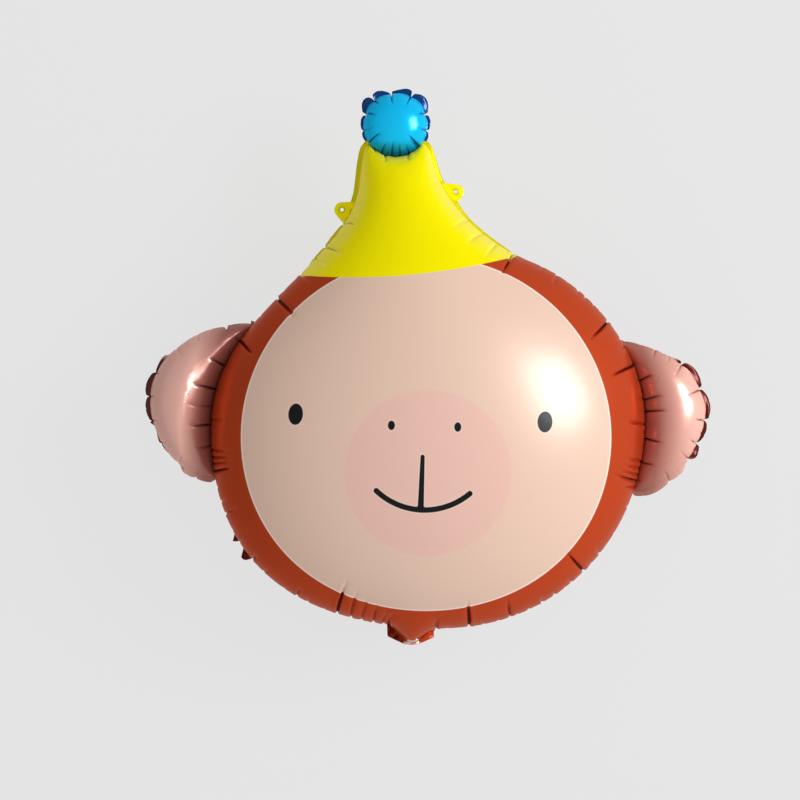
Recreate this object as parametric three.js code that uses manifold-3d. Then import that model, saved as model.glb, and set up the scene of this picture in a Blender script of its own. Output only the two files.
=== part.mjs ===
// A foil party balloon: a monkey's head with a pointed hat and a round bobble on top.
// Two foils are heat-sealed round one outline, and along a line inside each ear and under the bobble,
// so it is one sealed envelope of five inflated chambers. It lies on its back, face up.
// Millimetres, +Z up, +Y from the chin to the hat, origin in the middle of the resting spot on its back.
import * as THREE from "three";
import { mergeVertices } from "three/addons/utils/BufferGeometryUtils.js";
import Module from "manifold-3d";

const wasm = await Module();
wasm.setup();

// Driving dimensions
const HEAD_HALF_DEPTH = 134; // from the seam to the middle of the face
const RESTING_FLAT_DEPTH = 3; // how far the back is pressed in where it lies
const SEAM_HEIGHT = HEAD_HALF_DEPTH - RESTING_FLAT_DEPTH; // the seam's plane above the floor
const EAR_HALF_DEPTH = 31;
const BOBBLE_HALF_DEPTH = 24;
const BOBBLE_RADIUS = 33;
const NECK_HALF_DEPTH = 6;
const TAB_RADIUS = 8.6;
const TAB_HOLE_RADIUS = 2.6;
const SEAM_THICKNESS = 1.2; // the welded border, much thinner on the real foil
const BORDER_WIDTH = { head: 6.5, hat: 4.5, ear: 5, bobble: 4 };
const BOBBLE_SHOULDER = 5; // how much wider the border is at the bobble's two shoulders
const WELD_LIP = 0.8; // what is left of the border where two chambers meet
const WELD_OVERLAP = 2; // neighbouring chambers run into each other by this much
const TUCK_HALF_WIDTH = 4.5;
const INFLATED_POWER = 0.44; // how full the section is: 0.5 is an ellipse, less is squarer
const SLIVER = 0.03; // edges shorter than this, left where chambers meet, are closed up

const vec = (x, y) => new THREE.Vector2(x, y);
const degrees = THREE.MathUtils.degToRad;
const lerp = THREE.MathUtils.lerp;
const smoothstep = THREE.MathUtils.smoothstep;

// Places in plan, seen from the front
const CHIN = vec(16, -200.5);
const RIGHT_CHEEK = vec(228.5, 18);
const LEFT_CHEEK = vec(-229, 8);
const HAT_FOOT = { right: vec(104, 188), left: vec(-148.5, 159.5) };
const HAT_WAIST = { right: vec(8.5, 285), left: vec(-75, 261) };
const HAT_TIP = { right: vec(-3.5, 311.5), left: vec(-63.5, 314.5) };
const BOBBLE_CENTRE = vec(-34.4, 329.5);
const NOTCH = { from: degrees(-30), to: degrees(-152) }; // the arc of the hat's end under the bobble
const THROAT = { right: vec(-7, -213), left: vec(-25, -213) };
const STANDING_BORDER = vec(-198, -116); // here the head's border isn't folded back
const TABS = [
  { centre: vec(-93, 240.5), outward: degrees(160) },
  { centre: vec(29.5, 261), outward: degrees(30) },
];
// Each ear: its side, the y of the weld's two ends, its outermost point, and its two curves' handles.
const LEFT_EAR = { side: -1, span: [-42, 122], tip: vec(-294, 38), seed: 5 };
const RIGHT_EAR = { side: 1, span: [-56, 103], tip: vec(294, 25), seed: 23 };
const EARS = [
  { ...LEFT_EAR, top: [vec(-60, 0), 54], bottom: [vec(-38, -5), 40] },
  { ...RIGHT_EAR, top: [vec(46, -2), 46], bottom: [vec(40, -12), 28] },
];

const FOIL = new THREE.MeshStandardMaterial({ color: 0xa8402a, roughness: 0.32, metalness: 0.45 });

// The same run of numbers between 0 and 1 every time, for the uneven spacing of the tucks.
function numberRun(seed) {
  let state = seed;
  return () => {
    state = (state * 16807) % 2147483647;
    return state / 2147483647;
  };
}

// Outlines, each a path of curves, anticlockwise seen from the front

const curveTo = (path, a, b, end) => path.bezierCurveTo(a.x, a.y, b.x, b.y, end.x, end.y);

function bobbleOutline() {
  const path = new THREE.Path();
  path.absarc(BOBBLE_CENTRE.x, BOBBLE_CENTRE.y, BOBBLE_RADIUS, -Math.PI / 2, 1.5 * Math.PI);
  return path;
}

// Head and hat in one: chin, right cheek, hat's right side, the notch under the bobble, and back down.
function headOutline() {
  const radius = BOBBLE_RADIUS - WELD_OVERLAP;
  const onNotch = (angle) => vec(Math.cos(angle), Math.sin(angle)).multiplyScalar(radius).add(BOBBLE_CENTRE);
  const path = new THREE.Path();
  path.moveTo(CHIN.x, CHIN.y);
  curveTo(path, vec(137, CHIN.y), vec(RIGHT_CHEEK.x, -104), RIGHT_CHEEK);
  curveTo(path, vec(RIGHT_CHEEK.x, 92), vec(172, 163), HAT_FOOT.right);
  curveTo(path, vec(64, 204), vec(22, 243), HAT_WAIST.right);
  curveTo(path, vec(6, 293), vec(2, 308), HAT_TIP.right);
  path.lineTo(onNotch(NOTCH.from).x, onNotch(NOTCH.from).y);
  path.absarc(BOBBLE_CENTRE.x, BOBBLE_CENTRE.y, radius, NOTCH.from, NOTCH.to, true);
  path.lineTo(HAT_TIP.left.x, HAT_TIP.left.y);
  curveTo(path, vec(-71, 304), vec(-72, 282), HAT_WAIST.left);
  curveTo(path, vec(-82, 224), vec(-117, 191), HAT_FOOT.left);
  curveTo(path, vec(-191, 115), vec(LEFT_CHEEK.x, 78), LEFT_CHEEK);
  curveTo(path, vec(LEFT_CHEEK.x, -130), vec(-142, CHIN.y), CHIN);
  return path;
}

// A half-moon outside the cheek. The inner side follows the head's own rim, set in by the overlap.
function earOutline(headRim, { side, span, tip, top, bottom }) {
  const [low, high] = span;
  const inner = headRim.filter((p) => p.x * side > 0 && p.y > low && p.y < high);
  inner.sort((a, b) => (b.y - a.y) * side);
  const shrink = 1 - WELD_OVERLAP / Math.abs(tip.x);
  const weld = inner.map((p) => p.clone().multiplyScalar(shrink));
  const [start, end] = [weld.at(-1), weld[0]];
  const [first, second] = side < 0 ? [top, bottom] : [bottom, top];
  const path = new THREE.Path();
  path.moveTo(end.x, end.y);
  weld.slice(1).forEach((p) => path.lineTo(p.x, p.y));
  curveTo(path, start.clone().add(first[0]), vec(tip.x, tip.y - side * first[1]), tip);
  curveTo(path, vec(tip.x, tip.y + side * second[1]), end.clone().add(second[0]), end);
  return path;
}

// The filler neck's short inflated throat, a V under the chin.
function neckOutline() {
  const { left, right } = THROAT;
  const root = { left: vec(left.x - 21, left.y + 23), right: vec(right.x + 17, right.y + 21) };
  const path = new THREE.Path();
  path.moveTo(right.x, right.y);
  curveTo(path, vec(right.x + 5, right.y + 1), vec(root.right.x - 2, root.right.y - 10), root.right);
  path.lineTo(root.left.x, root.left.y);
  curveTo(path, vec(root.left.x + 2, root.left.y - 10), vec(left.x - 8, left.y + 4), left);
  path.closePath();
  return path;
}

// The rim of a chamber: its outline cut into bays, each from one tuck of the seam to the next.
// A column stands in each tuck, close by on each side of it, and in the middle of the bay.
function rimOf(path, { bay, seed, border }) {
  const random = numberRun(seed);
  const length = path.getLength();
  const bays = Math.round(length / bay);
  const widths = Array.from({ length: bays }, () => lerp(0.7, 1.3, random()));
  const depths = widths.map(() => lerp(0.45, 1, random()));
  const total = widths.reduce((a, b) => a + b);
  const columns = [];
  let start = 0;
  widths.forEach((width, k) => {
    const end = start + width / total;
    const share = TUCK_HALF_WIDTH / ((end - start) * length);
    for (const [u, tuck] of [[0, depths[k]], [share, 0.1], [0.5, 0], [1 - share, 0.1]]) {
      const at = lerp(start, end, u);
      const p = path.getPointAt(at);
      const tangent = path.getTangentAt(at);
      const out = vec(tangent.y, -tangent.x);
      columns.push({ p, out, tuck, coarse: u === 0 || u === 0.5, ...border(p) });
    }
    start = end;
  });
  return columns;
}

// Plane geometry

function distanceToRim(p, rim) {
  let best = Infinity;
  for (let i = 0; i < rim.length; i++) {
    const a = rim[i].p;
    const edge = rim[(i + 1) % rim.length].p.clone().sub(a);
    const t = THREE.MathUtils.clamp(p.clone().sub(a).dot(edge) / edge.lengthSq(), 0, 1);
    best = Math.min(best, p.distanceTo(a.clone().addScaledVector(edge, t)));
  }
  return best;
}

function inside(p, rim) {
  let odd = false;
  rim.forEach(({ p: a }, i) => {
    const b = rim[(i + 1) % rim.length].p;
    if (a.y > p.y !== b.y > p.y && p.x < a.x + ((p.y - a.y) / (b.y - a.y)) * (b.x - a.x)) odd = !odd;
  });
  return odd;
}

function circumcircle(points, [a, b, c]) {
  const [p, q, r] = [points[a], points[b], points[c]];
  const [bx, by, cx, cy] = [q.x - p.x, q.y - p.y, r.x - p.x, r.y - p.y];
  const d = 2 * (bx * cy - by * cx);
  const x = (cy * (bx * bx + by * by) - by * (cx * cx + cy * cy)) / d;
  const y = (bx * (cx * cx + cy * cy) - cx * (bx * bx + by * by)) / d;
  return { corners: [a, b, c], x: x + p.x, y: y + p.y, r2: x * x + y * y };
}

// Delaunay triangles of the points, by adding one point at a time.
function triangulate(points) {
  const far = 1e5;
  const random = numberRun(7);
  const nudged = points.map((p) => vec(p.x + random() * 1e-3, p.y + random() * 1e-3));
  nudged.push(vec(-far, -far), vec(far, -far), vec(0, far));
  const n = points.length;
  let triangles = [circumcircle(nudged, [n, n + 1, n + 2])];
  for (let i = 0; i < n; i++) {
    const { x, y } = nudged[i];
    const hit = (t) => (t.x - x) ** 2 + (t.y - y) ** 2 < t.r2;
    const edges = new Map();
    for (const { corners } of triangles.filter(hit)) {
      corners.forEach((a, k) => {
        const b = corners[(k + 1) % 3];
        if (!edges.delete(`${b},${a}`)) edges.set(`${a},${b}`, [a, b]);
      });
    }
    triangles = triangles.filter((t) => !hit(t));
    for (const [a, b] of edges.values()) triangles.push(circumcircle(nudged, [a, b, i]));
  }
  return triangles.map((t) => t.corners).filter((t) => Math.max(...t) < n);
}

// How high a skin stands over each point when it is blown up over the rim, 1 at the highest.
// It solves for a stretched skin under even pressure, with cotangent weights on the triangles.
function inflate(points, triangles, rimCount) {
  const weights = points.map(() => new Map());
  const area = new Float64Array(points.length);
  for (const t of triangles) {
    t.forEach((a, k) => {
      const [b, c] = [t[(k + 1) % 3], t[(k + 2) % 3]];
      const [u, v] = [points[b].clone().sub(points[a]), points[c].clone().sub(points[a])];
      const half = u.dot(v) / u.cross(v) / 2;
      weights[b].set(c, (weights[b].get(c) ?? 0) + half);
      weights[c].set(b, (weights[c].get(b) ?? 0) + half);
      area[a] += u.cross(v) / 6;
    });
  }
  const level = new Float64Array(points.length);
  const lean = 1.85; // over-relaxation
  for (let sweep = 0; sweep < 600; sweep++) {
    for (let i = rimCount; i < points.length; i++) {
      let [sum, total] = [area[i], 0];
      for (const [j, w] of weights[i]) {
        sum += w * level[j];
        total += w;
      }
      level[i] += lean * (sum / total - level[i]);
    }
  }
  const top = Math.max(...level);
  return Array.from(level, (v) => Math.max(v / top, 0) ** INFLATED_POWER);
}

// A closed chamber: front and back skins over one rim, and the welded border round it.
function chamber(rim, { halfDepth, rings, grid, tuckDepth, tuckReach }) {
  const columns = rim.map((c, i) => ({ ...c, index: i }));
  const points = columns.map((c) => ({ at: c.p, column: c, in: 0 }));
  for (const [depth, everyColumn] of rings) {
    for (const column of columns) {
      if (!everyColumn && !column.coarse) continue;
      const at = column.p.clone().addScaledVector(column.out, -depth);
      if (distanceToRim(at, rim) > 0.86 * depth && inside(at, rim)) points.push({ at, column, in: depth });
    }
  }
  const clear = rings.at(-1)[0] + grid * 0.55;
  const bounds = new THREE.Box2().setFromPoints(rim.map((c) => c.p));
  const rowStep = (grid * Math.sqrt(3)) / 2;
  for (let row = 0, y = bounds.min.y; y < bounds.max.y; row++, y += rowStep) {
    for (let x = bounds.min.x + (row % 2) * grid * 0.5; x < bounds.max.x; x += grid) {
      const at = vec(x, y);
      if (inside(at, rim) && distanceToRim(at, rim) > clear) points.push({ at });
    }
  }
  const flat = points.map((q) => q.at);
  const middle = (t) => flat[t[0]].clone().add(flat[t[1]]).add(flat[t[2]]).divideScalar(3);
  const triangles = triangulate(flat).filter((t) => inside(middle(t), rim));
  const height = inflate(flat, triangles, rim.length);

  const positions = [];
  const push = (v) => positions.push(v.x, v.y, v.z) / 3 - 1;
  // A point of one skin: lifted by the air, and drawn in where a tuck of the seam reaches it.
  const skin = (q, i, side) => {
    const lift = height[i] * halfDepth;
    const draw = q.column ? q.column.tuck * tuckDepth * Math.exp(-(((lift + q.in) / tuckReach) ** 2)) : 0;
    const freed = q.column ? q.column.free : 1;
    const at = q.column ? q.at.clone().addScaledVector(q.column.out, -draw * freed) : q.at;
    const dent = 1 - (draw * (1 - freed) * 0.9) / halfDepth;
    return new THREE.Vector3(at.x, at.y, SEAM_HEIGHT + side * lift * dent);
  };
  // Where the border leaves the seam: its own direction, and across its thickness.
  const borderOf = (c) => {
    const along = new THREE.Vector3(c.out.x, c.out.y, 0).multiplyScalar(Math.cos(c.bend));
    along.z = -Math.sin(c.bend);
    const across = new THREE.Vector3(c.out.x, c.out.y, 0).multiplyScalar(Math.sin(c.bend));
    across.z = Math.cos(c.bend);
    return { along: along.multiplyScalar(c.width), across: across.multiplyScalar(SEAM_THICKNESS / 2) };
  };
  const borders = columns.map(borderOf);
  const rimPoint = (i, side, outer) =>
    skin(points[i], i, 0).addScaledVector(borders[i].across, side).addScaledVector(borders[i].along, outer);
  const rimCount = rim.length;
  const front = points.map((q, i) => push(i < rimCount ? rimPoint(i, 1, 0) : skin(q, i, 1)));
  const back = points.map((q, i) => push(i < rimCount ? rimPoint(i, -1, 0) : skin(q, i, -1)));
  const edgeFront = columns.map((c, i) => push(rimPoint(i, 1, 1)));
  const edgeBack = columns.map((c, i) => push(rimPoint(i, -1, 1)));

  const faces = [];
  for (const [a, b, c] of triangles) {
    faces.push(front[a], front[b], front[c], back[a], back[c], back[b]);
  }
  const strip = (from, to) => {
    for (let i = 0; i < rimCount; i++) {
      const j = (i + 1) % rimCount;
      faces.push(from[i], to[i], to[j], from[i], to[j], from[j]);
    }
  };
  strip(front, edgeFront);
  strip(edgeFront, edgeBack);
  strip(edgeBack, back);
  return solid(positions, faces);
}

// Solids

function solid(positions, faces) {
  return new wasm.Manifold(
    new wasm.Mesh({
      numProp: 3,
      vertProperties: new Float32Array(positions),
      triVerts: new Uint32Array(faces),
    }),
  );
}

function solidOfGeometry(geometry) {
  const bare = geometry.clone();
  bare.deleteAttribute("normal");
  bare.deleteAttribute("uv");
  const merged = mergeVertices(bare, 1e-4);
  return solid(merged.attributes.position.array, merged.index.array);
}

function plate(shape) {
  const thickness = { depth: SEAM_THICKNESS, bevelEnabled: false, curveSegments: 8 };
  return new THREE.ExtrudeGeometry(shape, thickness).translate(0, 0, SEAM_HEIGHT - SEAM_THICKNESS / 2);
}

// A hanging tab: a round ear of welded foil with a punched hole, on a foot that runs into the seam.
function hangingTab({ centre, outward }) {
  const r = TAB_RADIUS;
  const foot = r + 9; // how far the foot runs in from the hole
  const spread = r + 7; // half the foot's width
  const shape = new THREE.Shape();
  shape.absarc(0, 0, r, -Math.PI / 2, Math.PI / 2);
  curveTo(shape, vec(-7, r), vec(-10, r + 2), vec(-foot, spread));
  shape.lineTo(-foot, -spread);
  curveTo(shape, vec(-10, -r - 2), vec(-7, -r), vec(0, -r));
  const hole = new THREE.Path();
  hole.absarc(0, 0, TAB_HOLE_RADIUS, 0, 2 * Math.PI, true);
  shape.holes.push(hole);
  const made = plate(shape);
  made.translate(0, 0, -SEAM_HEIGHT).rotateZ(outward).translate(centre.x, centre.y, SEAM_HEIGHT);
  return made;
}

// The flat end of the filler neck, cut off straight below the throat.
function fillerTail() {
  const left = [vec(-44, -188), vec(-43, -209), vec(-25, -219)];
  const right = [vec(-5, -219), vec(6.5, -210), vec(8, -188)];
  return plate(new THREE.Shape([...left, ...right]));
}

function box(min, max) {
  const size = max.clone().sub(min);
  const made = new THREE.BoxGeometry(size.x, size.y, size.z);
  return made.translate(...min.clone().addScaledVector(size, 0.5).toArray());
}

// The chambers

const isHat = (p) => smoothstep(p.y, 185, 215);
const onEar = (p) => {
  const [low, high] = EARS.find(({ side }) => side * p.x > 0).span;
  return Math.abs(p.x) > 150 && p.y > low - 4 && p.y < high + 4;
};
const onNotch = (p) => p.distanceTo(BOBBLE_CENTRE) < BOBBLE_RADIUS + 1;
const welded = { width: WELD_LIP, bend: 0, free: 0 };

// The border's width, how far it is folded back, and how freely the tucks draw it in.
// On the head it is folded back against the body, but for one place on the left of the chin.
function headBorder(p) {
  if (onEar(p) || onNotch(p)) return welded;
  const hat = isHat(p);
  const standing = Math.max(hat, 1 - smoothstep(p.distanceTo(STANDING_BORDER), 6, 24));
  const width = lerp(BORDER_WIDTH.head, BORDER_WIDTH.hat, hat);
  return { width, bend: degrees(lerp(62, 12, standing)), free: lerp(1, 0.55, hat) };
}

const headPath = headOutline();
const head = chamber(rimOf(headPath, { bay: 34, seed: 11, border: headBorder }), {
  halfDepth: HEAD_HALF_DEPTH,
  rings: [[0.9, true], [3.5, true], [9, true], [19, false], [33, false]],
  grid: 25,
  tuckDepth: 6.5,
  tuckReach: 52,
});

const headCurve = headPath.getSpacedPoints(420);
function earBorder(p) {
  const toHead = Math.min(...headCurve.map((q) => q.distanceTo(p)));
  return toHead < WELD_OVERLAP + 1.5 ? welded : { width: BORDER_WIDTH.ear, bend: degrees(32), free: 1 };
}
const ears = EARS.map((ear) =>
  chamber(rimOf(earOutline(headCurve, ear), { bay: 25, seed: ear.seed, border: earBorder }), {
    halfDepth: EAR_HALF_DEPTH,
    rings: [[0.7, true], [3, true], [8, true], [16, false]],
    grid: 17,
    tuckDepth: 6,
    tuckReach: 20,
  }),
);

function bobbleBorder(p) {
  if (p.y < BOBBLE_CENTRE.y - 14) return welded;
  const turn = p.clone().sub(BOBBLE_CENTRE).angle();
  const width = BORDER_WIDTH.bobble + BOBBLE_SHOULDER * Math.sin(2 * turn) ** 2;
  return { width, bend: degrees(15), free: 1 };
}
const bobble = chamber(rimOf(bobbleOutline(), { bay: 19, seed: 3, border: bobbleBorder }), {
  halfDepth: BOBBLE_HALF_DEPTH,
  rings: [[0.6, true], [2.6, true], [7, true], [14, false]],
  grid: 14,
  tuckDepth: 4.5,
  tuckReach: 14,
});

const neckBorder = () => ({ ...welded, free: 1 });
const neck = chamber(rimOf(neckOutline(), { bay: 30, seed: 9, border: neckBorder }), {
  halfDepth: NECK_HALF_DEPTH,
  rings: [[0.8, true], [3, false]],
  grid: 9,
  tuckDepth: 0.5,
  tuckReach: 5,
});

// One envelope

const REACH = 400; // a block this far out on every side takes in the whole balloon
const underFloor = box(new THREE.Vector3(-REACH, -REACH, -REACH), new THREE.Vector3(REACH, REACH, 0));
const plates = [...TABS.map(hangingTab), fillerTail()].map(solidOfGeometry);
const envelope = [...ears, bobble, neck, ...plates]
  .reduce((sum, piece) => sum.add(piece), head)
  .subtract(solidOfGeometry(underFloor))
  .simplify(SLIVER);

const { vertProperties, triVerts } = envelope.getMesh();
const geometry = new THREE.BufferGeometry();
geometry.setAttribute("position", new THREE.BufferAttribute(vertProperties, 3));
geometry.setIndex(new THREE.BufferAttribute(triVerts, 1));
geometry.computeVertexNormals();

const balloon = new THREE.Mesh(geometry, FOIL);
balloon.name = "balloon";
const part = new THREE.Group();
part.add(balloon);

export default part;
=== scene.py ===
"""A foil party balloon in the shape of a monkey's head, lying on its back, face up.

The solid from the frame stands for the whole sealed envelope. Here that is made again as foil: head and hat,
two ears and a bobble, each blown up over its own outline and drawn into tucks along its seam, with the flat
pieces welded to them. The materials lay the print over them, with painted shade in the creases, on the dark
petals, on the tail's left side and on the ears towards the head, a painted red reflection on the ears, a
painted pale reflection on the tail's lip, and a painted sheen on the hat's sides.
Lengths are millimetres until a mesh is written. The lamps and the floor are placed in metres.
"""
import math
from dataclasses import dataclass

import bpy
import numpy as np
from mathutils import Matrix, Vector
from mathutils.geometry import delaunay_2d_cdt


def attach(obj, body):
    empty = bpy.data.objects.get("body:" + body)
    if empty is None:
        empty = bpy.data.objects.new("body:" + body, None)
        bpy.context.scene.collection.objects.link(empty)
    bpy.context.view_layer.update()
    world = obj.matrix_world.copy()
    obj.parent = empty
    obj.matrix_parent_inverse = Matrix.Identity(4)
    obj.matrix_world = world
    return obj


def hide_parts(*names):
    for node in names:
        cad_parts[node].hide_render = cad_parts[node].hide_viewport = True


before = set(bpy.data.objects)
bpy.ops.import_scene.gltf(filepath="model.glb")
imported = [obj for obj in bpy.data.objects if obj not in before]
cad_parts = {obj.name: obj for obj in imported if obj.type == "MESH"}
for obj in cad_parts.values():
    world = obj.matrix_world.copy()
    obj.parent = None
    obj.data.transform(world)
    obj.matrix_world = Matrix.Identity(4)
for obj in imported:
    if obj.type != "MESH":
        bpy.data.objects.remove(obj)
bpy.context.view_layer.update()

MM = 0.001
FRONT, BACK = 1, -1
ON_BORDER = 2  # times the side

# The envelope's main sizes
SEAM_HEIGHT = 131.0
FLAT_BACK = 131.0  # depth of the back below the seam where it rests
HEAD_DEPTH, EAR_DEPTH, BOBBLE_DEPTH = 134.0, 31.0, 25.0
BOBBLE_RADIUS = 34.8
BOBBLE_CENTRE = np.array([-34.4, 330.5])
INFLATED_POWER = 0.44  # how full a section is: 0.5 is an ellipse, less is squarer
BORDER_HALF, LEAF_HALF = 0.15, 0.35  # half the thickness of the border, and of the tabs and the filler tail

# Places on the outline, in plan
CHIN, RIGHT_CHEEK, LEFT_CHEEK = (16.0, -200.5), (228.5, 18.0), (-229.0, 8.0)
HAT_FOOT_RIGHT, HAT_FOOT_LEFT = (104.0, 188.0), (-148.5, 159.5)
HAT_WAIST_RIGHT, HAT_WAIST_LEFT = (6.3, 284.0), (-73.2, 260.4)
HAT_TIP_RIGHT, HAT_TIP_LEFT = (-4.8, 311.0), (-62.3, 314.2)
NECK_LEFT, NECK_FOOT, NECK_RIGHT = (-41.0, -196.5), (-16.5, -214.5), (6.0, -201.5)
NECK_MIDDLE = -17.0
NOTCH_FROM, NOTCH_TO = math.radians(-33), math.radians(-149)
LEFT_EAR_SPAN, RIGHT_EAR_SPAN = (-42.0, 122.0), (-56.0, 103.0)
LEFT_EAR_TIP, RIGHT_EAR_TIP = (-294.0, 38.0), (294.0, 25.0)
RIM_SQUASH = 0.95  # y times this makes the rim beside the ears a circle
TAB_EYES = ((-91.0, 241.5), (29.8, 260.5))
TAB_RADIUS, TAB_HOLE = 8.0, 2.0
TAIL_CENTRE = (-18.0, -203.0)
VALVE_CENTRE, VALVE_HALF = (-16.3, -213.4), (6.6, 2.9)

# The camera, straight above
CAMERA_PLAN = np.array([-29.6, 40.2])
CAMERA_ABOVE_SEAM = 2351.0
LENS, SENSOR = 100.0, 36.0


# Curves in plan

def bezier(start, first, second, end, count=200):
    t = np.linspace(0, 1, count, endpoint=False)[:, None]
    a, b, c, d = (np.array(p, float) for p in (start, first, second, end))
    return (1 - t) ** 3 * a + 3 * (1 - t) ** 2 * t * b + 3 * (1 - t) * t**2 * c + t**3 * d


def heading(turns):
    return np.stack([np.cos(turns), np.sin(turns)], axis=-1)


def arc(centre, radius, start, end, count=200):
    return np.array(centre) + radius * heading(np.linspace(start, end, count, endpoint=False))


def closed(ring):
    return np.concatenate([ring, ring[:1]])


def blur_ring(values, sigma):
    """Values round a closed ring, smoothed with a bell of this many steps."""
    bell = np.exp(-2 * (math.pi * np.fft.fftfreq(len(values)) * sigma) ** 2)
    return np.fft.ifft(np.fft.fft(values.T) * bell).real.T


def within(ring, points):
    x, y = points.T
    from_x, from_y = ring.T[..., None]
    to_x, to_y = np.roll(ring, -1, axis=0).T[..., None]
    crosses = (from_y > y) != (to_y > y)
    slope = (to_x - from_x) / np.where(to_y == from_y, 1e-9, to_y - from_y)
    return (crosses & (x < from_x + slope * (y - from_y))).sum(0) % 2 == 1


def smoothstep(x, low, high):
    t = np.clip((x - low) / (high - low), 0, 1)
    return t * t * (3 - 2 * t)


def with_third(pairs, third):
    return np.column_stack([pairs, np.broadcast_to(third, len(pairs))])


def doubled_areas(points, triangles):
    """Twice the area of each triangle, below zero where it runs clockwise."""
    a, b, c = (points[triangles[:, k]].T for k in range(3))
    return (b[0] - a[0]) * (c[1] - a[1]) - (b[1] - a[1]) * (c[0] - a[0])


class Outline:
    """A closed curve in plan, anticlockwise, read by the distance along it."""

    STEP = 0.5
    ROUND_OFF = 3.0  # how far its corners are smoothed
    BEND_BLUR = 18.0  # how far the measure of its bend is smoothed
    SAME_PLACE = 3.0  # points nearer than this don't count as another side

    def __init__(self, *runs):
        ring = closed(np.concatenate(runs))
        along = np.append(0, np.cumsum(np.hypot(*np.diff(ring, axis=0).T)))
        self.length = along[-1]
        self.marks = np.linspace(0, self.length, int(self.length / self.STEP) + 1)
        even = np.column_stack([np.interp(self.marks, along, column) for column in ring.T])
        rounded = blur_ring(even[:-1], self.ROUND_OFF / self.STEP)
        tangent = np.roll(rounded, -1, axis=0) - np.roll(rounded, 1, axis=0)
        tangent /= np.hypot(*tangent.T)[:, None]
        turn = np.unwrap(np.arctan2(tangent[:, 1], tangent[:, 0]))
        bend = np.gradient(turn) / self.STEP
        bend[[0, -1]] = bend[[1, -2]]
        self.points = closed(rounded)
        self.normals = closed(tangent[:, ::-1] * (1, -1))
        self.bend = closed(blur_ring(bend, self.BEND_BLUR / self.STEP))

    def _read(self, ring, s):
        return np.stack([np.interp(s % self.length, self.marks, column) for column in ring.T], axis=-1)

    def at(self, s):
        return self._read(self.points, s)

    def out(self, s):
        n = self._read(self.normals, s)
        return n / np.linalg.norm(n, axis=-1, keepdims=True)

    def nearest(self, place):
        return self.marks[np.argmin(np.hypot(*(self.points - place).T))]

    def three_turns(self, marks):
        """The marks, with those of the turn before and the turn after."""
        return np.concatenate([marks - self.length, marks, marks + self.length])

    def between(self, s, marks, values):
        """Values known at these marks, read at each s."""
        return np.interp(s, self.three_turns(marks), np.tile(values, 3))

    def gaps(self, marks):
        """From each mark to the next round the curve."""
        return np.diff(np.append(marks, marks[0] + self.length))

    def room(self, s):
        """Radius of the largest circle inside that touches the curve at each s."""
        apart = self.points[::6][None] - self.at(s)[:, None]
        squared = (apart**2).sum(-1)
        ahead = np.einsum("ijk,ik->ij", apart, -self.out(s))
        radius = squared / np.maximum(2 * ahead, 1e-6)
        radius[(ahead < 1e-3) | (squared < self.SAME_PLACE**2)] = np.inf
        return radius.min(1)


def head_outline():
    under = arc(BOBBLE_CENTRE, BOBBLE_RADIUS - 1, NOTCH_FROM, NOTCH_TO)
    jowl = bezier(LEFT_CHEEK, (LEFT_CHEEK[0], -130), (-142, CHIN[1]), CHIN)
    jowl = jowl[jowl[:, 0] < NECK_LEFT[0]]
    return Outline(
        bezier(CHIN, (137, CHIN[1]), (RIGHT_CHEEK[0], -104), RIGHT_CHEEK),
        bezier(RIGHT_CHEEK, (RIGHT_CHEEK[0], 92), (172, 163), HAT_FOOT_RIGHT),
        bezier(HAT_FOOT_RIGHT, (64, 204), (20.5, 241.8), HAT_WAIST_RIGHT),
        bezier(HAT_WAIST_RIGHT, (4, 292), (0.5, 307.5), HAT_TIP_RIGHT, 60),
        np.linspace(HAT_TIP_RIGHT, under[0], 20, endpoint=False),
        under,
        np.linspace(under[-1], HAT_TIP_LEFT, 20, endpoint=False),
        bezier(HAT_TIP_LEFT, (-69.5, 303.5), (-70.2, 282), HAT_WAIST_LEFT, 60),
        bezier(HAT_WAIST_LEFT, (-80.5, 224.5), (-117, 191), HAT_FOOT_LEFT),
        bezier(HAT_FOOT_LEFT, (-191, 115), (LEFT_CHEEK[0], 78), LEFT_CHEEK),
        jowl,
        bezier(NECK_LEFT, (-34, -201), (-25, -214), NECK_FOOT, 60),
        bezier(NECK_FOOT, (-9, -214), (-4, -205), NECK_RIGHT, 60),
    )


def ear_outline(head_rim, side, span, tip, top, bottom):
    """A half-moon on the head's own rim. top and bottom hold a handle there, and one's length at the tip."""
    low, high = span
    rim = head_rim.points[:-1]
    inner = rim[(rim[:, 0] * side > 0) & (rim[:, 1] > low) & (rim[:, 1] < high)]
    inner = inner[np.argsort(-side * inner[:, 1])] * (1 - 1 / abs(tip[0]))
    start, end = inner[-1], inner[0]
    first, second = (top, bottom) if side < 0 else (bottom, top)
    return Outline(
        inner,
        bezier(start, start + first[0], (tip[0], tip[1] - side * first[1]), tip),
        bezier(tip, (tip[0], tip[1] + side * second[1]), end + second[0], end),
    )


# Tucks, where the seam has more foil than it needs once blown up

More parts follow.
